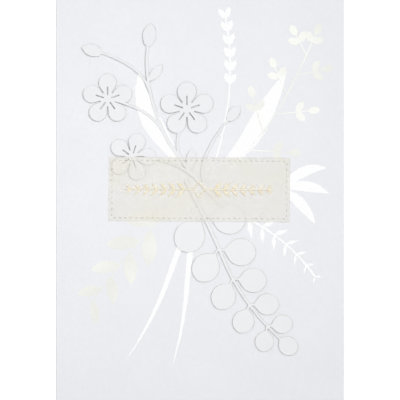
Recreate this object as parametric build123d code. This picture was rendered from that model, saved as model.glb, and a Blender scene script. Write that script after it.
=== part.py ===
from build123d import *
from math import atan2, cos, degrees, radians, sin
import os

# Folded greeting card with a layered botanical front, in millimetres.
# It lies closed on its back panel with the front upwards. The fold is the left edge, at -X, the
# top edge is at +Y, and the origin is the middle of the footprint, on the surface under it.
# Places on the front are shares of the card's width and height, from the middle of the panel.

# Card: one sheet of board, folded once and sprung slightly open
CARD_WIDTH = 127.0
CARD_HEIGHT = 177.8
BOARD_THICKNESS = 0.4
FOLD_INNER_RADIUS = 0.3
SPRING_ANGLE = 1.4

# Layers stacked on the front panel
FILM_THICKNESS = 0.03
LEAF_PAD_THICKNESS = 0.3
LEAF_PAPER_THICKNESS = 0.3
BLOSSOM_PAPER_THICKNESS = 0.3
PAD_WIDTH = 3.2
PAD_REACH_SHARE = 0.64

# Label: translucent slip with a row of stitch slots round its edge
LABEL_LENGTH = 80.0
LABEL_HEIGHT = 28.5
LABEL_THICKNESS = 0.12
LABEL_PLACE_SHARES = (-0.0024, 0.0259)
LABEL_TURN_ANGLE = -0.4
STITCH_PITCH = 2.42
STITCH_LENGTH = 0.7
STITCH_WIDTH = 0.16
STITCH_INSET = 1.6

# Die-cut spray of round leaves, in pairs that shrink towards the tip
LEAF_STEM_SHARES = ((-0.05, 0.05), (0.05, -0.06), (0.08, -0.22), (0.28, -0.345))
LEAF_STEM_WIDTH = 1.7
LEAF_STEM_TIP_WIDTH = 1.0
LEAF_PAIRS = 5
LEAF_LENGTH = 16.0
LEAF_WIDTH = 12.8
LEAF_STALK_LENGTH = 2.4
LEAF_STALK_WIDTH = 1.1
LEAF_HIP_SHARES = (0.22, 0.36)
LEAF_CHEEK_SHARES = (0.66, 0.5)
LEAF_LAST_SIZE_SHARE = 0.62
LEAF_FIRST_PLACE_SHARE = 0.22
LEAF_LAST_PLACE_SHARE = 0.9
LEAF_CROWDING_SHARE = 0.16
LEAF_SPREAD_ANGLE = 60.0
LEAF_LAST_SPREAD_ANGLE = 54.0

# Die-cut spray of blossoms, buds and small leaves
BLOSSOM_STEM_SHARES = ((0.09, -0.02), (-0.03, 0.07), (-0.17, 0.14), (-0.185, 0.345))
BLOSSOM_STEM_WIDTH = 1.8
BLOSSOM_STEM_TIP_WIDTH = 1.2
BRANCH_WIDTH = 1.3
BRANCH_TIP_WIDTH = 0.95
BLOSSOM_RADIUS = 12.0
PETALS = 5
PETAL_HIP_SHARES = (0.45, 0.285)
HEART_SHARE = 0.3
STAMEN_REACH_SHARES = (0.16, 0.48)
STAMEN_WIDTH = 0.45
# Each blossom: where its branch leaves the stem, its centre, its size and the turn of its petals
BLOSSOM_SHARES = (
    (0.34, (-0.045, 0.225), 1.0, 0.25),
    (0.56, (-0.32, 0.25), 0.93, 0.05),
    (0.22, (-0.235, 0.107), 0.89, 0.2),
)
# Each bud: where its branch leaves the stem, the bud's base and its size
BUD_LENGTH = 9.5
BUD_WIDTH = 5.4
SEPAL_LENGTH = 4.0
SEPAL_WIDTH = 1.7
SEPAL_ANGLE = 34.0
BUD_SHARES = (
    (0.12, (0.1, 0.2), 0.9),
    (0.8, (-0.345, 0.365), 1.0),
    (0.97, (-0.18, 0.385), 1.1),
)
# Each small leaf: its place along the stem and its size
SPRIG_LEAF_LENGTH = 11.5
SPRIG_LEAF_WIDTH = 4.8
SPRIG_LEAF_SHARES = ((0.3, 0.9), (0.88, 0.85))
SPRIG_LEAF_ANGLE = 48.0

# Silver foil: ear of grain, long blades, fern frond and grass
FOIL_STEM_WIDTH = 0.8
EAR_STEM_SHARES = ((0.03, 0.05), (0.11, 0.2), (0.12, 0.33), (0.09, 0.45))
EAR_PAIRS = 6
EAR_START_SHARE = 0.6
GRAIN_LENGTH = 5.4
GRAIN_WIDTH = 2.3
GRAIN_ANGLE = 27.0
BLADE_WIDTH = 8.6
BLADE_PROFILE_SHARES = (0.0, 0.72, 1.0, 0.74, 0.0)
BLADE_PATHS_SHARES = (
    ((0.05, 0.07), (0.17, 0.12), (0.22, 0.21), (0.3, 0.32)),
    ((-0.06, 0.08), (-0.12, 0.15), (-0.21, 0.2), (-0.21, 0.32)),
)
FAN_WIDTH = 4.6
FAN_PATHS_SHARES = (
    ((0.28, 0.03), (0.34, 0.07), (0.4, 0.085), (0.44, 0.08)),
    ((0.28, 0.03), (0.34, 0.04), (0.4, 0.035), (0.45, 0.015)),
    ((0.28, 0.03), (0.33, 0.01), (0.37, -0.02), (0.4, -0.06)),
)
FERN_STEM_SHARES = ((0.05, -0.01), (0.2, -0.05), (0.31, -0.1), (0.4, -0.19))
FERN_PAIRS = 7
FERN_START_SHARE = 0.3
PINNA_LENGTH = 8.8
PINNA_WIDTH = 2.5
PINNA_LAST_SIZE_SHARE = 0.35
PINNA_ANGLE = 55.0
GRASS_WIDTH = 2.4
GRASS_PROFILE_SHARES = (0.9, 1.0, 0.86, 0.5, 0.0)
GRASS_PATHS_SHARES = (
    ((-0.02, -0.02), (-0.09, -0.14), (-0.12, -0.26), (-0.26, -0.4)),
    ((-0.01, -0.02), (-0.05, -0.16), (-0.04, -0.3), (-0.1, -0.42)),
)

# Pearl print: loose spray of fine buds, and a sprig of slender leaves
TWIG_WIDTH = 0.5
SPRAY_STEM_SHARES = ((0.06, 0.05), (0.18, 0.12), (0.27, 0.2), (0.37, 0.36))
TWIGS = 6
TWIG_START_SHARE = 0.28
TWIG_LENGTH = 18.0
TWIG_LAST_SIZE_SHARE = 0.55
TWIG_ANGLE = 52.0
SEED_LENGTH = 5.6
SEED_WIDTH = 3.0
SEED_FLAT_SHARES = (0.28, 0.72)
SEED_PLACE_SHARE = 0.62
SEED_ANGLE = 50.0
WILLOW_STEM_SHARES = ((-0.06, -0.01), (-0.17, -0.06), (-0.25, -0.13), (-0.37, -0.25))
WILLOW_LEAVES = 8
WILLOW_START_SHARE = 0.2
WILLOW_LENGTH = 17.0
WILLOW_WIDTH = 7.0
WILLOW_LAST_SIZE_SHARE = 0.6
WILLOW_ANGLE = 42.0

# Gold foil garland on the label: two laurel twigs that meet at a lozenge
GARLAND_LENGTH = 66.0
GARLAND_PAIRS = 7
GARLAND_LEAF_LENGTH = 4.9
GARLAND_LEAF_WIDTH = 1.2
KITE_WAIST_SHARE = 0.42
GARLAND_LEAF_ANGLE = 46.0
GARLAND_LAST_SIZE_SHARE = 0.62
GARLAND_LINE_WIDTH = 0.36
LOZENGE_LENGTH = 5.4
LOZENGE_HEIGHT = 7.6

# How far a stalk runs on inside the leaf that it carries
STALK_RUN_SHARE = 0.2
# Bend of a branch: how far along it the stem's own direction still leads
BRANCH_LEAD_SHARE = 0.45
FULL_TURN_ANGLE = 360.0
HALF_TURN_ANGLE = 180.0


def between(first, last, share):
    """Value a share of the way from the first to the last."""
    return first + (last - first) * share


def spot(shares):
    """Place on the front panel, from shares of its width and height."""
    across, up = shares
    return Vector(across * CARD_WIDTH, up * CARD_HEIGHT)


def led_curve(shares):
    """Smooth path on the front panel, from the first place to the last, led by the two between."""
    return Bezier(*[spot(place) for place in shares])


def heading(direction):
    """Angle of a direction on the panel."""
    return degrees(atan2(direction.Y, direction.X))


def toward(angle):
    """Unit direction at an angle on the panel."""
    return Vector(cos(radians(angle)), sin(radians(angle)))


def ribbon(path, widths):
    """Strip along a curved path, with its widths at even steps, where a width of zero is a point."""
    last = len(widths) - 1
    left = []
    right = []
    for step, width in enumerate(widths):
        along = path % (step / last)
        across = Vector(-along.Y, along.X) * (width / 2)
        left.append(path @ (step / last) + across)
        right.append(path @ (step / last) - across)
    edges = []
    for side in (left, right):
        edges += [ThreePointArc(*side[step:step + 3]) for step in range(0, last, 2)]
    for end in (0, -1):
        if widths[end] > 0:
            edges.append(Line(left[end], right[end]))
    return make_face(edges)


def stem(path, base_width, tip_width):
    """Stem that narrows evenly along its curved path."""
    return ribbon(path, [between(base_width, tip_width, step / 4) for step in range(5)])


def bar(base, angle, length, width):
    """Straight strip that runs at an angle from its base."""
    return Pos(base) * Rot(0, 0, angle) * Pos(length / 2, 0) * Rectangle(length, width)


def leaf(base, angle, length, width):
    """Leaf with two round sides, pointing at an angle from its base."""
    sides = [SagittaArc((0, 0), (length, 0), side * width / 2) for side in (-1, 1)]
    return Pos(base) * Rot(0, 0, angle) * make_face(sides)


def kite(base, angle, length, width):
    """Straight-sided leaf, widest near its base."""
    waist = length * KITE_WAIST_SHARE
    corners = ((0, 0), (waist, -width / 2), (length, 0), (waist, width / 2))
    return Pos(base) * Rot(0, 0, angle) * Polygon(*corners, align=None)


def seed(base, angle, length, width):
    """Small six-sided seed or grain."""
    near, far = [length * share for share in SEED_FLAT_SHARES]
    corners = ((0, 0), (near, -width / 2), (far, -width / 2))
    corners += ((length, 0), (far, width / 2), (near, width / 2))
    return Pos(base) * Rot(0, 0, angle) * Polygon(*corners, align=None)


def paired(shape, path, pairs, start, length, width, angle, last_size):
    """Pairs of one shape that stand straight on a path and shrink towards its end."""
    pieces = []
    for pair in range(pairs):
        step = pair / (pairs - 1)
        place = between(start, 1, step)
        size = between(1, last_size, step)
        for side in (-1, 1):
            lean = heading(path % place) + side * angle
            pieces.append(shape(path @ place, lean, length * size, width * size))
    return pieces


def branch_path(parent, place, end):
    """Path that leaves its parent along the parent's direction and bends to its end."""
    start = parent @ place
    lead = (end - start).length * BRANCH_LEAD_SHARE
    return Bezier(start, start + (parent % place) * lead, end)


def front_plane():
    """Plane of the front panel's outer face, its origin in the middle of the panel."""
    outer = FOLD_INNER_RADIUS + BOARD_THICKNESS
    normal = Vector(-sin(radians(SPRING_ANGLE)), 0, cos(radians(SPRING_ANGLE)))
    along = Vector(cos(radians(SPRING_ANGLE)), 0, sin(radians(SPRING_ANGLE)))
    hinge = Vector(outer - CARD_WIDTH / 2, 0, outer)
    middle = hinge + normal * outer + along * (CARD_WIDTH / 2 - outer)
    return Plane(middle, x_dir=along, z_dir=normal)


def sheet_on_front(outline, height, thickness):
    """Flat sheet of an outline, its underside at a height above the front panel."""
    plane = front_plane().offset(height)
    return extrude(plane * outline, amount=thickness, dir=plane.z_dir)


def card_sheet():
    """Board folded once: back panel, round fold and sprung front panel."""
    middle_radius = FOLD_INNER_RADIUS + BOARD_THICKNESS / 2
    flat = CARD_WIDTH - FOLD_INNER_RADIUS - BOARD_THICKNESS
    edge = Vector(CARD_WIDTH / 2, BOARD_THICKNESS / 2)
    back = Line(edge, edge - Vector(flat, 0))
    fold = JernArc(back @ 1, back % 1, middle_radius, SPRING_ANGLE - HALF_TURN_ANGLE)
    front = PolarLine(fold @ 1, flat, direction=fold % 1)
    profile = trace([back, fold, front], BOARD_THICKNESS)
    return extrude(Plane.XZ * profile, amount=CARD_HEIGHT / 2, both=True)


def round_leaf(base, angle, size):
    """Broad leaf with a round end, on a stalk that runs on a little inside it."""
    length = LEAF_LENGTH * size
    stalk = LEAF_STALK_LENGTH * size
    edges = []
    for side in (-LEAF_WIDTH * size, LEAF_WIDTH * size):
        hip, cheek = [(along * length, aside * side)
                      for along, aside in (LEAF_HIP_SHARES, LEAF_CHEEK_SHARES)]
        edges += [Line((0, 0), hip), ThreePointArc(hip, cheek, (length, 0))]
    blade = Pos(base + toward(angle) * stalk) * Rot(0, 0, angle) * make_face(edges)
    return [bar(base, angle, stalk + length * STALK_RUN_SHARE, LEAF_STALK_WIDTH), blade]


def round_leaf_places(path):
    """Base, angle and size of each round leaf of the pairs along a stem."""
    for pair in range(LEAF_PAIRS):
        step = pair / (LEAF_PAIRS - 1)
        eased = step * (1 + LEAF_CROWDING_SHARE * (1 - step))
        place = between(LEAF_FIRST_PLACE_SHARE, LEAF_LAST_PLACE_SHARE, eased)
        size = between(1, LEAF_LAST_SIZE_SHARE, step)
        spread = between(LEAF_SPREAD_ANGLE, LEAF_LAST_SPREAD_ANGLE, step)
        for side in (-1, 1):
            yield path @ place, heading(path % place) + side * spread, size


def leaf_spray_outline():
    """Round leaves in pairs along a curved stem, with one leaf at its end."""
    path = led_curve(LEAF_STEM_SHARES)
    pieces = [stem(path, LEAF_STEM_WIDTH, LEAF_STEM_TIP_WIDTH)]
    for base, angle, size in round_leaf_places(path):
        pieces += round_leaf(base, angle, size)
    back = (path @ 1) - (path % 1) * LEAF_STALK_LENGTH
    pieces += round_leaf(back, heading(path % 1), LEAF_LAST_SIZE_SHARE)
    return Sketch() + pieces


def leaf_pad_outline():
    """Glue pads hidden under the leaves, one for each pair, on alternate sides."""
    places = list(round_leaf_places(led_curve(LEAF_STEM_SHARES)))
    pads = []
    for base, angle, size in places[::4] + places[3::4]:
        centre = base + toward(angle) * (LEAF_STALK_LENGTH + LEAF_LENGTH / 2) * size
        pads.append(Pos(centre) * Rot(0, 0, angle) * Rectangle(PAD_WIDTH, PAD_WIDTH))
    return Sketch() + pads


def petal(radius):
    """Petal that widens from the heart to a round end."""
    along, aside = [radius * share for share in PETAL_HIP_SHARES]
    hips = [(along, -aside), (along, aside)]
    return make_face([
        Line((0, 0), hips[0]),
        ThreePointArc(hips[0], (radius, 0), hips[1]),
        Line(hips[1], (0, 0)),
    ])


def blossom(centre, radius, turn):
    """Petals that join at the heart."""
    pieces = [Rot(0, 0, FULL_TURN_ANGLE * (turn + 1 / (2 * PETALS)))
              * RegularPolygon(radius * HEART_SHARE, PETALS)]
    for index in range(PETALS):
        pieces.append(Rot(0, 0, FULL_TURN_ANGLE * (turn + index / PETALS)) * petal(radius))
    return Pos(centre) * (Sketch() + pieces)


def stamen_slits(centre, radius, turn):
    """Slit along the middle of each petal, near the heart of a blossom."""
    start, end = STAMEN_REACH_SHARES
    slits = []
    for index in range(PETALS):
        angle = FULL_TURN_ANGLE * (turn + index / PETALS)
        base = centre + toward(angle) * (radius * start)
        slits.append(bar(base, angle, radius * (end - start), STAMEN_WIDTH))
    return slits


def bud(base, angle, size):
    """Closed bud between two sepals."""
    pieces = [leaf(base, angle, BUD_LENGTH * size, BUD_WIDTH * size)]
    for side in (-1, 1):
        lean = angle + side * SEPAL_ANGLE
        pieces.append(kite(base, lean, SEPAL_LENGTH * size, SEPAL_WIDTH * size))
    return pieces


def blossom_spray_outline():
    """Blossoms and buds on branches of one stem, with small leaves between."""
    path = led_curve(BLOSSOM_STEM_SHARES)
    pieces = [stem(path, BLOSSOM_STEM_WIDTH, BLOSSOM_STEM_TIP_WIDTH)]
    slits = []
    for place, centre, size, turn in BLOSSOM_SHARES:
        branch = branch_path(path, place, spot(centre))
        pieces.append(stem(branch, BRANCH_WIDTH, BRANCH_TIP_WIDTH))
        pieces.append(blossom(spot(centre), BLOSSOM_RADIUS * size, turn))
        slits += stamen_slits(spot(centre), BLOSSOM_RADIUS * size, turn)
    for place, end, size in BUD_SHARES:
        branch = branch_path(path, place, spot(end))
        pieces.append(stem(branch, BRANCH_WIDTH, BRANCH_TIP_WIDTH))
        pieces += bud(spot(end) - (branch % 1) * BRANCH_TIP_WIDTH, heading(branch % 1), size)
    for place, size in SPRIG_LEAF_SHARES:
        angle = heading(path % place) - SPRIG_LEAF_ANGLE
        pieces.append(leaf(path @ place, angle, SPRIG_LEAF_LENGTH * size, SPRIG_LEAF_WIDTH * size))
    return Sketch() + pieces - slits


def blossom_pad_outline():
    """Foam pads hidden under every other petal."""
    pads = []
    for place, centre, size, turn in BLOSSOM_SHARES:
        reach = BLOSSOM_RADIUS * size * PAD_REACH_SHARE
        for index in range(0, PETALS, 2):
            angle = FULL_TURN_ANGLE * (turn + index / PETALS)
            pad = Rot(0, 0, angle) * Rectangle(PAD_WIDTH, PAD_WIDTH)
            pads.append(Pos(spot(centre) + toward(angle) * reach) * pad)
    return Sketch() + pads


def silver_outline():
    """Ear of grain, blades, fan, fern frond and grass of the silver foil."""
    ear = led_curve(EAR_STEM_SHARES)
    fern = led_curve(FERN_STEM_SHARES)
    pieces = [stem(path, FOIL_STEM_WIDTH, FOIL_STEM_WIDTH) for path in (ear, fern)]
    pieces += paired(seed, ear, EAR_PAIRS, EAR_START_SHARE, GRAIN_LENGTH, GRAIN_WIDTH,
                     GRAIN_ANGLE, 1)
    pieces += paired(kite, fern, FERN_PAIRS, FERN_START_SHARE, PINNA_LENGTH, PINNA_WIDTH,
                     PINNA_ANGLE, PINNA_LAST_SIZE_SHARE)
    for width, profile, paths in (
        (BLADE_WIDTH, BLADE_PROFILE_SHARES, BLADE_PATHS_SHARES),
        (FAN_WIDTH, BLADE_PROFILE_SHARES, FAN_PATHS_SHARES),
        (GRASS_WIDTH, GRASS_PROFILE_SHARES, GRASS_PATHS_SHARES),
    ):
        for places in paths:
            pieces.append(ribbon(led_curve(places), [width * share for share in profile]))
    return Sketch() + pieces


def seed_twig(base, angle, length):
    """Fine twig with pairs of seeds along it and one at its end."""
    pieces = [
        bar(base, angle, length, TWIG_WIDTH),
        seed(base + toward(angle) * (length - TWIG_WIDTH), angle, SEED_LENGTH, SEED_WIDTH),
    ]
    for side in (-1, 1):
        lean = angle + side * SEED_ANGLE
        pieces.append(seed(base + toward(angle) * (length * SEED_PLACE_SHARE), lean,
                           SEED_LENGTH, SEED_WIDTH))
    return pieces


def pearl_outline():
    """Spray of fine seeds and sprig of slender leaves of the pearl print."""
    spray = led_curve(SPRAY_STEM_SHARES)
    willow = led_curve(WILLOW_STEM_SHARES)
    pieces = [stem(path, TWIG_WIDTH, TWIG_WIDTH) for path in (spray, willow)]
    for index in range(TWIGS):
        step = index / (TWIGS - 1)
        place = between(TWIG_START_SHARE, 1, step)
        side = 1 if index % 2 else -1
        angle = heading(spray % place) + side * TWIG_ANGLE
        size = between(1, TWIG_LAST_SIZE_SHARE, step)
        pieces += seed_twig(spray @ place, angle, TWIG_LENGTH * size)
    pieces += seed_twig(spray @ 1, heading(spray % 1), TWIG_LENGTH * TWIG_LAST_SIZE_SHARE)
    for index in range(WILLOW_LEAVES):
        step = index / (WILLOW_LEAVES - 1)
        place = between(WILLOW_START_SHARE, 1, step)
        side = 1 if index % 2 else -1
        angle = heading(willow % place) + side * WILLOW_ANGLE
        size = between(1, WILLOW_LAST_SIZE_SHARE, step)
        pieces.append(leaf(willow @ place, angle, WILLOW_LENGTH * size, WILLOW_WIDTH * size))
    return Sketch() + pieces


def on_label(outline):
    """Outline moved to the label's place and turn."""
    return Pos(spot(LABEL_PLACE_SHARES)) * Rot(0, 0, LABEL_TURN_ANGLE) * outline


def stitch_row(length, reach, angle):
    """Row of slots along one edge of the label, at a reach from its middle."""
    count = round(length / STITCH_PITCH)
    row = []
    for index in range(count):
        along = length * ((index + 1 / 2) / count - 1 / 2)
        slot = Pos(along, -reach) * Rectangle(STITCH_LENGTH, STITCH_WIDTH)
        row.append(Rot(0, 0, angle) * slot)
    return row


def label_outline():
    """Slip with four rows of stitch slots."""
    across = LABEL_LENGTH - 2 * STITCH_INSET
    up = LABEL_HEIGHT - 2 * STITCH_INSET
    slots = []
    for turn in (0, HALF_TURN_ANGLE):
        slots += stitch_row(across, up / 2, turn)
        slots += stitch_row(up, across / 2, turn + HALF_TURN_ANGLE / 2)
    return on_label(Rectangle(LABEL_LENGTH, LABEL_HEIGHT) - slots)


def garland_outline():
    """Two twigs of straight-sided leaves that point away from a hollow lozenge."""
    outer = [(LOZENGE_LENGTH / 2, 0), (0, LOZENGE_HEIGHT / 2)]
    outer += [(-across, -up) for across, up in outer]
    inner_share = 1 - 2 * GARLAND_LINE_WIDTH / LOZENGE_LENGTH
    inner = [(across * inner_share, up * inner_share) for across, up in outer]
    pieces = [Polygon(*outer, align=None) - Polygon(*inner, align=None)]
    last_leaf = GARLAND_LEAF_LENGTH * GARLAND_LAST_SIZE_SHARE
    length = (GARLAND_LENGTH - LOZENGE_LENGTH) / 2 - last_leaf
    for angle in (0, HALF_TURN_ANGLE):
        start = toward(angle) * (LOZENGE_LENGTH / 2)
        end = start + toward(angle) * length
        pieces.append(bar(start - toward(angle) * GARLAND_LINE_WIDTH, angle,
                          length + last_leaf, GARLAND_LINE_WIDTH))
        pieces += paired(kite, Line(start, end), GARLAND_PAIRS, 1 / GARLAND_PAIRS,
                         GARLAND_LEAF_LENGTH, GARLAND_LEAF_WIDTH, GARLAND_LEAF_ANGLE,
                         GARLAND_LAST_SIZE_SHARE)
        pieces.append(kite(end, angle, last_leaf, GARLAND_LEAF_WIDTH * GARLAND_LAST_SIZE_SHARE))
    return on_label(Sketch() + pieces)


def build():
    """All the pieces of the card, by name."""
    leaf_height = LEAF_PAD_THICKNESS
    blossom_height = leaf_height + LEAF_PAPER_THICKNESS
    label_height = blossom_height + BLOSSOM_PAPER_THICKNESS
    garland_height = label_height + LABEL_THICKNESS
    pieces = {
        "card_sheet": card_sheet(),
        "silver_foil": sheet_on_front(silver_outline(), 0, FILM_THICKNESS),
        "pearl_print": sheet_on_front(pearl_outline(), FILM_THICKNESS, FILM_THICKNESS),
        "leaf_spray": sheet_on_front(leaf_spray_outline(), leaf_height, LEAF_PAPER_THICKNESS),
        "blossom_spray": sheet_on_front(blossom_spray_outline(), blossom_height,
                                        BLOSSOM_PAPER_THICKNESS),
        "vellum_label": sheet_on_front(label_outline(), label_height, LABEL_THICKNESS),
        "gold_garland": sheet_on_front(garland_outline(), garland_height, FILM_THICKNESS),
    }
    films = [pieces["pearl_print"], pieces["silver_foil"]]
    leaf_pads = sheet_on_front(leaf_pad_outline(), 0, leaf_height) - films
    blossom_pads = sheet_on_front(blossom_pad_outline(), 0, blossom_height) - films
    pieces["leaf_pads"] = leaf_pads
    pieces["blossom_pads"] = blossom_pads - [pieces["leaf_spray"], leaf_pads]
    return pieces


os.makedirs("parts", exist_ok=True)
for name, piece in build().items():
    export_step(piece, f"parts/{name}.step")
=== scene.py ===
from math import atan2, cos, pi, radians, sin

import bmesh
import bpy
from mathutils import Matrix, Vector, noise


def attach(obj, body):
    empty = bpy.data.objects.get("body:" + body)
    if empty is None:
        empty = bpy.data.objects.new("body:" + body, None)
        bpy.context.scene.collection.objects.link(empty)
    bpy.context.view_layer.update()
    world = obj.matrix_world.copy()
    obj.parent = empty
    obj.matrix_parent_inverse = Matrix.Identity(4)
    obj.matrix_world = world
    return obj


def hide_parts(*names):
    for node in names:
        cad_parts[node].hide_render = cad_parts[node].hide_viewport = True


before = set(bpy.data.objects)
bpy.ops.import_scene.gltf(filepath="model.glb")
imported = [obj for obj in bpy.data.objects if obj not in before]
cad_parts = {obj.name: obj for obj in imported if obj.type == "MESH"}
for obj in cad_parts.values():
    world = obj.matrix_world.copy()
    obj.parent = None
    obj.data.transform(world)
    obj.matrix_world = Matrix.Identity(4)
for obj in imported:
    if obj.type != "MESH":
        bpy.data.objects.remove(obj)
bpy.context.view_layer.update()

# Closed greeting card that lies on a pale floor and is seen from straight above its front panel.
# Lengths are in metres. Places on the front are measured from the middle of the panel, with X to
# the right, Y towards the card's top edge and Z out of the card.
MM = 0.001
CARD_WIDTH = 127.0 * MM
CARD_HEIGHT = 177.8 * MM

# View: share of the square picture that the card's width takes, and the camera in millimetres
PICTURE_WIDTH_SHARE = 0.72
LENS_LENGTH = 100.0
SENSOR_WIDTH = 36.0

# Light: shares of a white card's full brightness that the world and the two lamps give
WORLD_STRENGTH = 0.42
KEY_SHARE = 0.32
KEY_DISTANCE = 2.0
KEY_SIZE = 0.3
KEY_TURN = radians(28.0)
KEY_ELEVATION = radians(60.0)
FILL_SHARE = 0.305
FILL_DISTANCE = 0.245
FILL_SIZE = 0.18
FILL_TURN = radians(157.0)
FILL_ELEVATION = radians(77.5)
WHITE = (1.0, 1.0, 1.0, 1.0)

# Floor: its own shade, and what the camera sees, a glow with the card's shadow on it
FLOOR_SIZE = 6.0
FLOOR_SHADE = 0.8
FLOOR_SEEN_SHADE = 0.3
FLOOR_GLOW = 0.8

# Mixer of colours: places of its sockets among those that it has for every kind of value
MIX_FACTOR = 0
MIX_FIRST = 6
MIX_LAST = 7
MIX_RESULT = 2

# Spread of a noise round its middle that is widened to the full range, from soft to sharp
NOISE_MIDDLE = 0.5
SOFT_SPREAD = 0.2
CLEAR_SPREAD = 0.15
SHARP_SPREAD = 0.12

# Felt: marks pressed into the paper, and the fibres between them
FELT_MARK_SIZE = 1.6 * MM
FELT_MARK_SCALES = (1.0, 0.6, 1.0)
FELT_MARK_SHARE = 0.65
FELT_FIBRE_SIZE = 0.5 * MM
FELT_FIBRE_SCALES = (0.6, 1.4, 1.0)

# Board: bluish white with broad patches, and paler along its fold, where painted light brightens
# the fold's rounded edge
BOARD_LIGHT = (0.893, 0.901, 0.93, 1.0)
BOARD_DARK = (0.852, 0.861, 0.892, 1.0)
BOARD_FOLD_LIGHT = (0.985, 0.99, 0.995, 1.0)
BOARD_FELT_SHARE = 0.6
BOARD_PATCH_SIZE = 22.0 * MM
BOARD_RELIEF = 0.1 * MM
BOARD_ROUGHNESS = 0.82
BOARD_SHINE = 0.3
FOLD_PLACE = -CARD_WIDTH / 2
FOLD_LIGHT_WIDTH = 1.1 * MM
FOLD_LIGHT_PATCH_SIZE = 5.0 * MM
FOLD_LIGHT_LEAST_SHARE = 0.6

# Cut papers: smooth white, browned unevenly along their cut rims
LEAF_PAPER_LIGHT = (0.891, 0.897, 0.914, 1.0)
LEAF_PAPER_DARK = (0.875, 0.882, 0.9, 1.0)
BLOSSOM_PAPER_LIGHT = (0.872, 0.879, 0.901, 1.0)
BLOSSOM_PAPER_DARK = (0.856, 0.864, 0.887, 1.0)
PAPER_PATCH_SIZE = 9.0 * MM
PAPER_RELIEF = 0.012 * MM
PAPER_ROUGHNESS = 0.75
PAPER_SHINE = 0.3
TOASTED = (0.42, 0.34, 0.22, 1.0)
BROWNED_PATCH_SIZE = 4.0 * MM
BROWNED_FADE_SHARE = 0.5
LEAF_BROWNED_SHARES = (0.35, 0.8)
BLOSSOM_BROWNED_SHARES = (0.2, 0.62)
LABEL_BROWNED_SHARES = (0.62, 0.82)

# Silver foil: bright, and dulled by painted shade where the label covers it, since the label is
# hidden from the foil's reflections
FOIL_LIGHT = (1.0, 1.0, 1.0, 1.0)
FOIL_DARK = (0.985, 0.985, 0.99, 1.0)
FOIL_SHADE_UNDER_LABEL = (0.88, 0.88, 0.89, 1.0)
FOIL_PATCH_SIZE = 3.0 * MM
FOIL_ROUGHNESSES = (0.12, 0.2)
FOIL_RELIEF = 0.002 * MM

# Pearl print: its colour carries a painted sheen, a sum of a fall down the card, broad patches and
# fine painted glint marks
PEARL_SHEEN_BRIGHT = (0.99, 0.998, 0.948, 1.0)
PEARL_SHEEN_DULL = (0.853, 0.852, 0.816, 1.0)
PEARL_DULL_PLACE = -0.36 * CARD_HEIGHT
PEARL_BRIGHT_PLACE = 0.16 * CARD_HEIGHT
PEARL_FALL_SHARES = (-0.3, 0.15)
PEARL_PATCH_SIZE = 24.0 * MM
PEARL_PATCH_SHARES = (0.1, 0.9)
PEARL_PAINTED_GLINT_SIZE = 0.9 * MM
PEARL_PAINTED_GLINT_SHARES = (-0.14, 0.14)
PEARL_RELIEF = 0.015 * MM
PEARL_ROUGHNESS = 0.5
PEARL_SHINE = 0.5

# Gold foil: deeper and duller in small patches
GOLD_LIGHT = (0.975, 0.91, 0.72, 1.0)
GOLD_DARK = (0.89, 0.785, 0.56, 1.0)
GOLD_DEEP_PATCH_SIZE = 1.6 * MM
GOLD_DULL_PATCH_SIZE = 1.1 * MM
GOLD_ROUGHNESSES = (0.18, 0.34)
GOLD_RELIEF = 0.004 * MM

# Foam pads: open cells
FOAM_LIGHT = (0.88, 0.88, 0.88, 1.0)
FOAM_DARK = (0.8, 0.8, 0.79, 1.0)
FOAM_CELL_SIZE = 0.25 * MM
FOAM_CELL_SHARES = (0.1, 0.7)
FOAM_RELIEF = 0.05 * MM
FOAM_ROUGHNESS = 0.9
FOAM_SHINE = 0.2

# Vellum: each face of the label covers a share of what is behind it, and more where it is burnt
VELLUM_LIGHT = (0.784, 0.753, 0.687, 1.0)
VELLUM_DARK = (0.778, 0.739, 0.595, 1.0)
# Painted shade of the label's edge, greying a band round its border
VELLUM_EDGE_SHADE = (0.68, 0.67, 0.6, 1.0)
VELLUM_EDGE_SHADE_SHARE = 0.6
VELLUM_COVER_SHARE = 0.29
VELLUM_PATCH_SIZE = 14.0 * MM
VELLUM_FIBRE_SIZE = 0.5 * MM
VELLUM_RELIEF = 0.001 * MM
VELLUM_ROUGHNESS = 0.5
VELLUM_SHINE = 0.2
SCORCHED = (0.27, 0.21, 0.1, 1.0)
BORDER_BROWNED_SHARE = 0.3

# Label: its place and size, the border outside its stitches with that border's soft inner edge,
# and how far outside the label the papers are still held down
LABEL_PLACE_SHARES = (-0.0024, 0.0259)
LABEL_LENGTH = 80.0 * MM
LABEL_HEIGHT = 28.5 * MM
LABEL_TURN = radians(-0.4)
LABEL_BORDER = 0.9 * MM
LABEL_BORDER_BLUR_SHARE = 0.3
LABEL_CLEARANCE = 5.0 * MM

# Cut sheets: rim worn down round each cut edge, and how finely a sheet is divided
RIM = "rim"
RIM_WIDTH = 0.15 * MM
RIM_DROP = 0.06 * MM
LABEL_RIM_WIDTH = 0.2 * MM
LABEL_RIM_DROP = 0.02 * MM
UNDERSIDE_LIFT = 0.02 * MM
SHEET_STEP = 1.6 * MM
WELD_DISTANCE = 0.0005 * MM
FLAT_ANGLE = radians(1.0)
SMOOTH_ANGLE = radians(3.0)
UPWARD_SHARE = 0.9

# Curl of the blossoms: each one's place and its share of the largest radius, and how a petal rises
BLOSSOM_RADIUS = 12.0 * MM
BLOSSOM_SHARES = ((-0.045, 0.225, 1.0), (-0.32, 0.25, 0.93), (-0.235, 0.107, 0.89))
PETAL_LIFT = 0.16 * MM
PETAL_FLAT_SHARE = 0.35
PETAL_REACH_SHARE = 1.15
PETAL_EVEN_SHARE = 0.65
PETAL_WAVES = 3
PETAL_WAVE_SHIFT = 40.0

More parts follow.
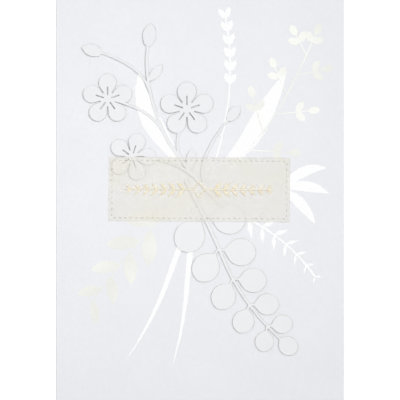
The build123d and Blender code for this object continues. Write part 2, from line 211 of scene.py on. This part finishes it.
# Curl of the leaves: the ends and leads of their curved stem, and how a leaf rises away from it
LEAF_STEM_SHARES = ((-0.05, 0.05), (0.05, -0.06), (0.08, -0.22), (0.28, -0.345))
STEM_SAMPLES = 40
LEAF_LIFT = 0.12 * MM
LEAF_FLAT_REACH = 4.0 * MM
LEAF_LIFT_REACH = 13.0 * MM
LEAF_EVEN_SHARE = 0.6
LEAF_WAVE_SHARE = 0.8
CURL_WAVELENGTH = 17.0 * MM


def on_card(across_share, up_share):
    """Place on the front, from shares of the card's width and height."""
    return Vector((across_share * CARD_WIDTH, up_share * CARD_HEIGHT))


def panel_matrix():
    """Axes of the front panel's outer face, its origin in the middle."""
    faces = [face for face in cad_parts["card_sheet"].data.polygons
             if face.normal.z > UPWARD_SHARE]
    largest = max(face.area for face in faces)
    top = max((face for face in faces if face.area > largest / 2), key=lambda face: face.center.z)
    normal = top.normal.normalized()
    along = Vector((normal.z, 0, -normal.x))
    height = top.center.z + top.center.x * normal.x / normal.z
    turn = Matrix((along, (0, 1, 0), normal)).transposed()
    return Matrix.Translation((0, 0, height)) @ turn.to_4x4()


panel = panel_matrix()
label_middle = on_card(*LABEL_PLACE_SHARES)


# Node helpers

def add(tree, kind, inputs=None, **settings):
    """Node of a kind, with its settings and inputs; an input may be another node's output."""
    made = tree.nodes.new(kind)
    for name, value in settings.items():
        setattr(made, name, value)
    for name, value in (inputs or {}).items():
        if isinstance(value, bpy.types.NodeSocket):
            tree.links.new(value, made.inputs[name])
        else:
            made.inputs[name].default_value = value
    return made


def blend(tree, factor, first, last):
    """Colour a share of the way from the first to the last."""
    inputs = {MIX_FACTOR: factor, MIX_FIRST: first, MIX_LAST: last}
    return add(tree, "ShaderNodeMix", inputs, data_type="RGBA").outputs[MIX_RESULT]


def calculate(tree, operation, *values):
    """Output of a sum with numbers or other outputs."""
    return add(tree, "ShaderNodeMath", dict(enumerate(values)), operation=operation).outputs[0]


def weigh(tree, first, second, share):
    """Sum of two values, in which the first has the given share and the second the rest."""
    return calculate(tree, "ADD", calculate(tree, "MULTIPLY", first, share),
                     calculate(tree, "MULTIPLY", second, 1 - share))


def remap(tree, value, low, high, first, last):
    """Value moved evenly from one range to another, and held at its ends."""
    return add(tree, "ShaderNodeMapRange", {
        "Value": value, "From Min": low, "From Max": high, "To Min": first, "To Max": last,
    }).outputs[0]


def spread(tree, value, reach, first=0.0, last=1.0):
    """Noise whose middle values, up to a reach on either side, run from the first to the last."""
    return remap(tree, value, NOISE_MIDDLE - reach, NOISE_MIDDLE + reach, first, last)


def place(tree, scales=(1, 1, 1)):
    """Real place on the card, with each axis scaled."""
    coordinates = add(tree, "ShaderNodeTexCoord").outputs["Object"]
    return add(tree, "ShaderNodeMapping", {"Vector": coordinates, "Scale": scales}).outputs[0]


def place_along(tree, axis):
    """Real place on the card along one axis."""
    return add(tree, "ShaderNodeSeparateXYZ", {"Vector": place(tree)}).outputs[axis]


def cloud(tree, size, detail=2.0, scales=(1, 1, 1)):
    """Soft noise whose blobs are about the given size."""
    return add(tree, "ShaderNodeTexNoise", {
        "Vector": place(tree, scales), "Scale": 1 / size, "Detail": detail,
    }).outputs["Fac"]


def felt(tree):
    """Height of the paper's felt marks and fibres, from zero to one."""
    marks = cloud(tree, FELT_MARK_SIZE, detail=3.0, scales=FELT_MARK_SCALES)
    fibres = cloud(tree, FELT_FIBRE_SIZE, scales=FELT_FIBRE_SCALES)
    return weigh(tree, marks, fibres, FELT_MARK_SHARE)


def bump(tree, height, relief):
    """Surface normal of a height field of a real depth."""
    inputs = {"Height": height, "Distance": relief, "Strength": 1.0}
    return add(tree, "ShaderNodeBump", inputs).outputs[0]


def principled(tree, colour, roughness, normal, **more):
    """Principled surface with a normal and any other inputs."""
    inputs = {"Base Color": colour, "Roughness": roughness, "Normal": normal}
    inputs.update({name.replace("_", " "): value for name, value in more.items()})
    return add(tree, "ShaderNodeBsdfPrincipled", inputs).outputs[0]


def diffuse(tree, shade):
    """Plain matt grey surface."""
    return add(tree, "ShaderNodeBsdfDiffuse", {"Color": (shade, shade, shade, 1.0)}).outputs[0]


def material(name, build):
    """Material whose surface is made by a function of its node tree."""
    made = bpy.data.materials.new(name)
    made.use_nodes = True
    tree = made.node_tree
    tree.nodes.clear()
    output = add(tree, "ShaderNodeOutputMaterial")
    tree.links.new(build(tree), output.inputs["Surface"])
    return made


# Materials

def fold_painted_light(tree):
    """How much painted light brightens the board along its fold, on the fold's rounded edge."""
    across = place_along(tree, "X")
    near = remap(tree, across, FOLD_PLACE, FOLD_PLACE + FOLD_LIGHT_WIDTH, 1.0, 0.0)
    patches = cloud(tree, FOLD_LIGHT_PATCH_SIZE)
    uneven = spread(tree, patches, SOFT_SPREAD, FOLD_LIGHT_LEAST_SHARE, 1.0)
    return calculate(tree, "MULTIPLY", near, uneven)


def board_surface(tree):
    """Bluish white board with felt marks, and painted light along its fold."""
    height = felt(tree)
    tone = weigh(tree, height, cloud(tree, BOARD_PATCH_SIZE), BOARD_FELT_SHARE)
    colour = blend(tree, spread(tree, tone, SOFT_SPREAD), BOARD_DARK, BOARD_LIGHT)
    # Painted light: the board is paler along its fold, brightening the fold's rounded edge
    colour = blend(tree, fold_painted_light(tree), colour, BOARD_FOLD_LIGHT)
    normal = bump(tree, height, BOARD_RELIEF)
    return principled(tree, colour, BOARD_ROUGHNESS, normal, Specular_IOR_Level=BOARD_SHINE)


def burnt_share(tree, faint, strong):
    """How brown a cut rim is: it fades inwards, and along the rim from faint to strong."""
    rim = add(tree, "ShaderNodeAttribute", attribute_name=RIM).outputs["Fac"]
    patches = cloud(tree, BROWNED_PATCH_SIZE, detail=1.0)
    uneven = spread(tree, patches, CLEAR_SPREAD, faint, strong)
    fade = remap(tree, rim, 0.0, BROWNED_FADE_SHARE, 0.0, 1.0)
    return calculate(tree, "MULTIPLY", fade, uneven)


def cut_paper_surface(tree, dark, light, browned_shares):
    """Smooth white paper, browned where it was cut."""
    patches = spread(tree, cloud(tree, PAPER_PATCH_SIZE), SOFT_SPREAD)
    colour = blend(tree, patches, dark, light)
    colour = blend(tree, burnt_share(tree, *browned_shares), colour, TOASTED)
    normal = bump(tree, felt(tree), PAPER_RELIEF)
    return principled(tree, colour, PAPER_ROUGHNESS, normal, Specular_IOR_Level=PAPER_SHINE)


def leaf_paper_surface(tree):
    """Paper of the leaf spray."""
    return cut_paper_surface(tree, LEAF_PAPER_DARK, LEAF_PAPER_LIGHT, LEAF_BROWNED_SHARES)


def blossom_paper_surface(tree):
    """Paper of the blossom spray, cut more cleanly."""
    return cut_paper_surface(tree, BLOSSOM_PAPER_DARK, BLOSSOM_PAPER_LIGHT, BLOSSOM_BROWNED_SHARES)


def label_reach(tree):
    """How far outside the label's edges a place is, negative inside them."""
    coordinates = add(tree, "ShaderNodeTexCoord").outputs["Object"]
    local = add(tree, "ShaderNodeMapping", {
        "Vector": coordinates, "Location": (*label_middle, 0), "Rotation": (0, 0, LABEL_TURN),
    }, vector_type="TEXTURE").outputs[0]
    axes = add(tree, "ShaderNodeSeparateXYZ", {"Vector": local}).outputs
    across = calculate(tree, "SUBTRACT", calculate(tree, "ABSOLUTE", axes["X"]), LABEL_LENGTH / 2)
    up = calculate(tree, "SUBTRACT", calculate(tree, "ABSOLUTE", axes["Y"]), LABEL_HEIGHT / 2)
    return calculate(tree, "MAXIMUM", across, up)


def silver_surface(tree):
    """Bright foil, faintly dimpled by the felt marks under it, with painted shade that dulls it
    under the label.
    """
    height = felt(tree)
    shade_under_label = remap(tree, label_reach(tree), -LABEL_BORDER, 0.0, 1.0, 0.0)
    colour = blend(tree, height, FOIL_DARK, FOIL_LIGHT)
    # Painted shade: the foil is dulled where the label covers it
    colour = blend(tree, shade_under_label, colour, FOIL_SHADE_UNDER_LABEL)
    patches = cloud(tree, FOIL_PATCH_SIZE, detail=3.0)
    roughness = spread(tree, patches, SOFT_SPREAD, *FOIL_ROUGHNESSES)
    return principled(tree, colour, roughness, bump(tree, height, FOIL_RELIEF), Metallic=1.0)


def pearl_surface(tree):
    """Ivory ink with a painted sheen in its colour that comes and goes over the card, dull and warm
    lower down.
    """
    up = place_along(tree, "Y")
    fall = remap(tree, up, PEARL_DULL_PLACE, PEARL_BRIGHT_PLACE, *PEARL_FALL_SHARES)
    patches = cloud(tree, PEARL_PATCH_SIZE, detail=1.0)
    broad = spread(tree, patches, SHARP_SPREAD, *PEARL_PATCH_SHARES)
    painted_glints = spread(tree, cloud(tree, PEARL_PAINTED_GLINT_SIZE), SOFT_SPREAD, *PEARL_PAINTED_GLINT_SHARES)
    # Painted sheen: the ink's colour runs from dull to bright ivory by place, with small painted
    # glint marks
    sheen = calculate(tree, "ADD", calculate(tree, "ADD", fall, broad), painted_glints)
    colour = blend(tree, sheen, PEARL_SHEEN_DULL, PEARL_SHEEN_BRIGHT)
    normal = bump(tree, felt(tree), PEARL_RELIEF)
    return principled(tree, colour, PEARL_ROUGHNESS, normal, Specular_IOR_Level=PEARL_SHINE)


def gold_surface(tree):
    """Pale gold foil that is deeper where it is rubbed thin."""
    deep = spread(tree, cloud(tree, GOLD_DEEP_PATCH_SIZE, detail=3.0), CLEAR_SPREAD)
    colour = blend(tree, deep, GOLD_DARK, GOLD_LIGHT)
    roughness = spread(tree, cloud(tree, GOLD_DULL_PATCH_SIZE), SOFT_SPREAD, *GOLD_ROUGHNESSES)
    return principled(tree, colour, roughness, bump(tree, felt(tree), GOLD_RELIEF), Metallic=1.0)


def foam_surface(tree):
    """White foam with open cells on its cut sides."""
    cells = add(tree, "ShaderNodeTexVoronoi", {
        "Vector": place(tree), "Scale": 1 / FOAM_CELL_SIZE,
    }).outputs["Distance"]
    tone = remap(tree, cells, *FOAM_CELL_SHARES, 0.0, 1.0)
    colour = blend(tree, tone, FOAM_DARK, FOAM_LIGHT)
    normal = bump(tree, cells, FOAM_RELIEF)
    return principled(tree, colour, FOAM_ROUGHNESS, normal, Specular_IOR_Level=FOAM_SHINE)


def label_border(tree):
    """One on the label's border, outside its stitches, and zero inside them."""
    outer = -(1 - LABEL_BORDER_BLUR_SHARE) * LABEL_BORDER
    inner = -(1 + LABEL_BORDER_BLUR_SHARE) * LABEL_BORDER
    return remap(tree, label_reach(tree), inner, outer, 0.0, 1.0)


def vellum_surface(tree):
    """Translucent vellum, cloudy with fibres, greyed round its border by painted shade of its edge,
    and browned round its stitch slots.
    """
    patches = spread(tree, cloud(tree, VELLUM_PATCH_SIZE, detail=1.0), CLEAR_SPREAD)
    colour = blend(tree, patches, VELLUM_DARK, VELLUM_LIGHT)
    border = label_border(tree)
    # Painted shade: a greyer band round the border stands in for the shadow under the label's edge
    edge_shade = calculate(tree, "MULTIPLY", border, VELLUM_EDGE_SHADE_SHARE)
    colour = blend(tree, edge_shade, colour, VELLUM_EDGE_SHADE)
    cleaner = remap(tree, border, 0.0, 1.0, 1.0, BORDER_BROWNED_SHARE)
    burnt = calculate(tree, "MULTIPLY", burnt_share(tree, *LABEL_BROWNED_SHARES), cleaner)
    colour = blend(tree, burnt, colour, SCORCHED)
    normal = bump(tree, cloud(tree, VELLUM_FIBRE_SIZE, detail=3.0), VELLUM_RELIEF)
    body = principled(tree, colour, VELLUM_ROUGHNESS, normal, Specular_IOR_Level=VELLUM_SHINE)
    clear = add(tree, "ShaderNodeBsdfTransparent").outputs[0]
    cover = calculate(tree, "MAXIMUM", VELLUM_COVER_SHARE, burnt)
    return add(tree, "ShaderNodeMixShader", {0: cover, 1: clear, 2: body}).outputs[0]


def seen_directly(tree):
    """One for camera, glossy and transmission rays, and zero for the light on the object."""
    path = add(tree, "ShaderNodeLightPath").outputs
    glossy = calculate(tree, "MAXIMUM", path["Is Glossy Ray"], path["Is Transmission Ray"])
    return calculate(tree, "MAXIMUM", path["Is Camera Ray"], glossy)


def floor_surface(tree):
    """Pale floor that looks white and keeps the card's soft shadow."""
    glow = add(tree, "ShaderNodeEmission", {"Color": WHITE, "Strength": FLOOR_GLOW}).outputs[0]
    shaded = diffuse(tree, FLOOR_SEEN_SHADE)
    seen = add(tree, "ShaderNodeAddShader", {0: shaded, 1: glow}).outputs[0]
    plain = diffuse(tree, FLOOR_SHADE)
    return add(tree, "ShaderNodeMixShader", {0: seen_directly(tree), 1: plain, 2: seen}).outputs[0]


# Curl of the papers

def ease(value, low, high):
    """Smooth step from zero to one between two values."""
    share = min(max((value - low) / (high - low), 0.0), 1.0)
    return share * share * (3 - 2 * share)


def off_label(point):
    """Zero under the label, rising to one a little outside it."""
    turned = Matrix.Rotation(-LABEL_TURN, 2) @ (point - label_middle)
    across = max(abs(turned.x) - LABEL_LENGTH / 2, 0.0)
    up = max(abs(turned.y) - LABEL_HEIGHT / 2, 0.0)
    return ease(Vector((across, up)).length, 0.0, LABEL_CLEARANCE)


def bezier(points, share):
    """Place on the curve that two end points and the two leads between them give."""
    first, second, third, last = points
    rest = 1 - share
    return (first * rest ** 3 + second * (3 * rest ** 2 * share)
            + third * (3 * rest * share ** 2) + last * share ** 3)


blossoms_on_card = [
    (on_card(across, up), size * BLOSSOM_RADIUS) for across, up, size in BLOSSOM_SHARES
]
leaf_stem = [on_card(across, up) for across, up in LEAF_STEM_SHARES]
stem_places = [bezier(leaf_stem, step / STEM_SAMPLES) for step in range(STEM_SAMPLES + 1)]


def leaf_curl(point):
    """Height that a leaf rises by, most at its tip."""
    reach = min((point - place_on_stem).length for place_on_stem in stem_places)
    wave = noise.noise(Vector((point.x, point.y, 0)) / CURL_WAVELENGTH)
    uneven = LEAF_EVEN_SHARE + LEAF_WAVE_SHARE * wave
    rise = LEAF_LIFT * ease(reach, LEAF_FLAT_REACH, LEAF_LIFT_REACH) * uneven
    return max(rise, 0.0) * off_label(point)


def petal_curl(point):
    """Height that a petal rises by, most at its outer edge."""
    rise = 0.0
    for centre, radius in blossoms_on_card:
        away = point - centre
        share = away.length / radius
        if share > PETAL_REACH_SHARE:
            continue
        shift = PETAL_WAVE_SHIFT * centre.x / CARD_WIDTH
        wave = sin(PETAL_WAVES * atan2(away.y, away.x) + shift)
        uneven = PETAL_EVEN_SHARE + (1 - PETAL_EVEN_SHARE) * wave
        rise = max(rise, PETAL_LIFT * uneven * ease(share, PETAL_FLAT_SHARE, 1.0))
    return rise * off_label(point)


def flat_curl(point):
    """No rise."""
    return 0.0


# Pieces

def flat_mesh(node):
    """Welded copy of a node's mesh, in the panel's axes."""
    mesh = bmesh.new()
    mesh.from_mesh(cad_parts[node].data)
    bmesh.ops.remove_doubles(mesh, verts=mesh.verts, dist=WELD_DISTANCE)
    mesh.transform(panel.inverted())
    mesh.normal_update()
    return mesh


def wear_rim(mesh, rim_width, rim_drop):
    """Wear down and mark the rim of a sheet's upper face, and lift its underside a little."""
    rim_layer = mesh.verts.layers.float.new(RIM)
    bmesh.ops.dissolve_limit(mesh, angle_limit=FLAT_ANGLE, verts=mesh.verts, edges=mesh.edges)
    mesh.normal_update()
    top = [face for face in mesh.faces if face.normal.z > UPWARD_SHARE]
    above = {vert for face in top for vert in face.verts}
    for vert in set(mesh.verts) - above:
        vert.co.z += UNDERSIDE_LIFT
    rim = bmesh.ops.inset_region(mesh, faces=top, thickness=rim_width, depth=0.0,
                                 use_boundary=True, use_even_offset=True)["faces"]
    inner = {vert for face in top for vert in face.verts}
    for vert in {vert for face in rim for vert in face.verts} - inner:
        vert[rim_layer] = 1.0
        vert.co.z -= rim_drop


def divide(mesh):
    """Cut a sheet along a fine grid, so that it can curl."""
    bmesh.ops.triangulate(mesh, faces=mesh.faces)
    for axis in (Vector((1, 0, 0)), Vector((0, 1, 0))):
        reaches = [vert.co.dot(axis) for vert in mesh.verts]
        low = int(min(reaches) / SHEET_STEP) - 1
        high = int(max(reaches) / SHEET_STEP) + 2
        for step in range(low, high):
            geometry = list(mesh.verts) + list(mesh.edges) + list(mesh.faces)
            bmesh.ops.bisect_plane(mesh, geom=geometry, dist=WELD_DISTANCE,
                                   plane_co=axis * step * SHEET_STEP, plane_no=axis)


def smooth_mesh(mesh, name):
    """Finished mesh, smooth but for its cut edges, without the normals of the node it came from."""
    made = bpy.data.meshes.new(name)
    mesh.to_mesh(made)
    mesh.free()
    if "custom_normal" in made.attributes:
        made.attributes.remove(made.attributes["custom_normal"])
    made.polygons.foreach_set("use_smooth", [True] * len(made.polygons))
    made.set_sharp_from_angle(angle=SMOOTH_ANGLE)
    return made


def cut_sheet(node, name, rim_width, rim_drop, curl):
    """Cut sheet made from a node: its rim is worn down and marked, and it curls off the card."""
    mesh = flat_mesh(node)
    wear_rim(mesh, rim_width, rim_drop)
    divide(mesh)
    for vert in mesh.verts:
        vert.co.z += curl(vert.co.xy)
    bmesh.ops.triangulate(mesh, faces=mesh.faces)
    mesh.transform(panel)
    piece = bpy.data.objects.new(name, smooth_mesh(mesh, name))
    bpy.context.collection.objects.link(piece)
    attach(piece, "root")
    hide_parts(node)
    return piece


def dress(piece, surface):
    """Give a piece its only material."""
    piece.data.materials.clear()
    piece.data.materials.append(surface)


board = material("felt_marked_board", board_surface)
leaf_paper = material("leaf_paper", leaf_paper_surface)
blossom_paper = material("blossom_paper", blossom_paper_surface)
silver = material("silver_foil", silver_surface)
pearl = material("pearl_ink", pearl_surface)
gold = material("gold_foil", gold_surface)
foam = material("foam", foam_surface)
vellum = material("vellum", vellum_surface)

for node, surface in (
    ("card_sheet", board),
    ("silver_foil", silver),
    ("pearl_print", pearl),
    ("gold_garland", gold),
    ("leaf_pads", foam),
    ("blossom_pads", foam),
):
    dress(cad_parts[node], surface)

leaves = cut_sheet("leaf_spray", "leaf_paper_sheet", RIM_WIDTH, RIM_DROP, leaf_curl)
dress(leaves, leaf_paper)
blossoms = cut_sheet("blossom_spray", "blossom_paper_sheet", RIM_WIDTH, RIM_DROP, petal_curl)
dress(blossoms, blossom_paper)
label = cut_sheet("vellum_label", "vellum_slip", LABEL_RIM_WIDTH, LABEL_RIM_DROP, flat_curl)
dress(label, vellum)
# Vellum passes the light on to the papers right under it
label.visible_diffuse = False
label.visible_glossy = False
label.visible_shadow = False


# Floor, light and camera

def area_lamp(name, share, size, turn, elevation, distance):
    """Square lamp that gives its share of a white card's full brightness."""
    data = bpy.data.lights.new(name, "AREA")
    data.shape = "SQUARE"
    data.size = size
    data.energy = share * pi ** 2 * distance ** 2 / sin(elevation)
    lamp = bpy.data.objects.new(name, data)
    lamp.visible_glossy = False
    bpy.context.collection.objects.link(lamp)
    toward = Vector((cos(turn) * cos(elevation), sin(turn) * cos(elevation), sin(elevation)))
    lamp.location = panel @ (toward * distance)
    lamp.rotation_euler = (panel.to_3x3() @ toward).to_track_quat("Z", "Y").to_euler()


def white_world():
    """World that lights the card at a plain level and looks white itself."""
    world = bpy.data.worlds.new("studio")
    world.use_nodes = True
    tree = world.node_tree
    tree.nodes.clear()
    strength = remap(tree, seen_directly(tree), 0.0, 1.0, WORLD_STRENGTH, 1.0)
    background = add(tree, "ShaderNodeBackground", {"Color": WHITE, "Strength": strength})
    add(tree, "ShaderNodeOutputWorld", {"Surface": background.outputs[0]})
    return world


def flat_floor():
    """Square floor that the card lies on."""
    reach = FLOOR_SIZE / 2
    corners = [(-reach, -reach, 0), (reach, -reach, 0), (reach, reach, 0), (-reach, reach, 0)]
    mesh = bpy.data.meshes.new("floor")
    mesh.from_pydata(corners, [], [(0, 1, 2, 3)])
    made = bpy.data.objects.new("floor", mesh)
    bpy.context.collection.objects.link(made)
    return made


def overhead_camera():
    """Camera straight above the middle of the front panel."""
    data = bpy.data.cameras.new("camera")
    data.lens = LENS_LENGTH
    data.sensor_width = SENSOR_WIDTH
    made = bpy.data.objects.new("camera", data)
    bpy.context.collection.objects.link(made)
    distance = CARD_WIDTH / PICTURE_WIDTH_SHARE * LENS_LENGTH / SENSOR_WIDTH
    made.matrix_world = panel @ Matrix.Translation((0, 0, distance))
    return made


area_lamp("key", KEY_SHARE, KEY_SIZE, KEY_TURN, KEY_ELEVATION, KEY_DISTANCE)
area_lamp("fill", FILL_SHARE, FILL_SIZE, FILL_TURN, FILL_ELEVATION, FILL_DISTANCE)
bpy.context.scene.world = white_world()

floor = flat_floor()
dress(floor, material("pale_floor", floor_surface))

bpy.context.scene.camera = overhead_camera()
bpy.context.scene.view_settings.view_transform = "Standard"
